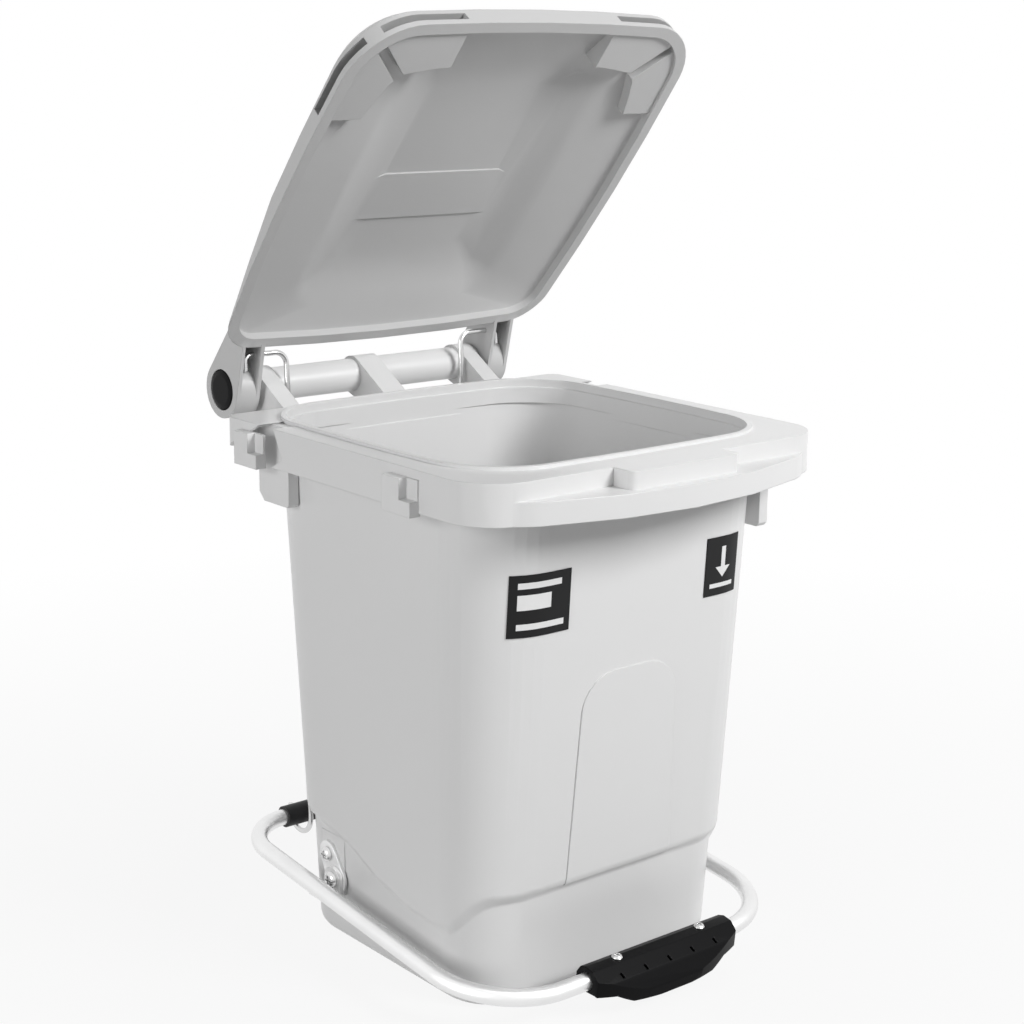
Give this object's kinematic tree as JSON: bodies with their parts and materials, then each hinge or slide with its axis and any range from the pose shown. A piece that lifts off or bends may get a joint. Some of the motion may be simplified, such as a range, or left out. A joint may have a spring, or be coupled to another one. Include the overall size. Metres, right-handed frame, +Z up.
{
  "type": "pedal bin",
  "caption": "Tall tapered plastic pail with a bowed rim, a hinged domed lid, and a steel pedal loop whose lift wires raise the lid.",
  "frame": {"origin": "middle of the tub's flat underside, straight below the centre of the rim opening", "axes": "+Z up, -Y towards the pedal and the front of the pail, +X to the viewer's right from the front"},
  "size_m": [0.314, 0.379, 0.644],
  "materials": {
    "tub_plastic": "satin moulded polypropylene, light grey",
    "lid_plastic": "satin moulded polypropylene, light grey",
    "black_plastic": "black moulded plastic",
    "tread_plastic": "glossy black moulded plastic",
    "black_rubber": "dull black sleeve",
    "satin_steel": "satin zinc-plated tube",
    "bright_steel": "bright plated wire and fasteners",
    "label_black": "matt black self-adhesive label"
  },
  "bodies": {
    "body": {"tub": "tub_plastic", "hinge_pin_left": "black_plastic", "hinge_pin_right": "black_plastic", "bracket_left": "satin_steel", "bracket_right": "satin_steel", "bracket_screws": "bright_steel", "pivot_bolts": "bright_steel", "bracket_washers": "bright_steel", "bracket_nuts": "bright_steel", "label_left": "label_black", "label_right": "label_black"},
    "lid": {"lid": "lid_plastic"},
    "pedal": {"pedal_frame": "satin_steel", "pedal_tread": "tread_plastic", "tread_screws": "bright_steel", "rear_sleeve_left": "black_rubber", "rear_sleeve_right": "black_rubber"},
    "wire_left": {"lift_wire_left": "bright_steel"},
    "wire_right": {"lift_wire_right": "bright_steel"}
  },
  "joints": [
    {"name": "lid_hinge", "type": "hinge", "parent": "body", "child": "lid", "pos_m": [0, 0.18, 0.3784], "axis": [1, 0, 0], "range_deg": [0, 51.9]},
    {"name": "pedal_pivot", "type": "hinge", "parent": "body", "child": "pedal", "pos_m": [0, 0.05, 0.0476], "axis": [1, 0, 0], "range_deg": [-12.8, 0]},
    {"name": "wire_left_pivot", "type": "hinge", "parent": "lid", "child": "wire_left", "pos_m": [-0.1055, 0.163, 0.4045], "axis": [1, 0, 0], "range_deg": [-49.5, 0]},
    {"name": "wire_right_pivot", "type": "hinge", "parent": "lid", "child": "wire_right", "pos_m": [0.1055, 0.163, 0.4045], "axis": [1, 0, 0], "range_deg": [-49.5, 0]}
  ],
  "couplings": [
    {"joint": "pedal_pivot", "follows": "lid_hinge", "ratio": -0.2448},
    {"joint": "wire_left_pivot", "follows": "lid_hinge", "ratio": -0.951},
    {"joint": "wire_right_pivot", "follows": "lid_hinge", "ratio": -0.951}
  ]
}
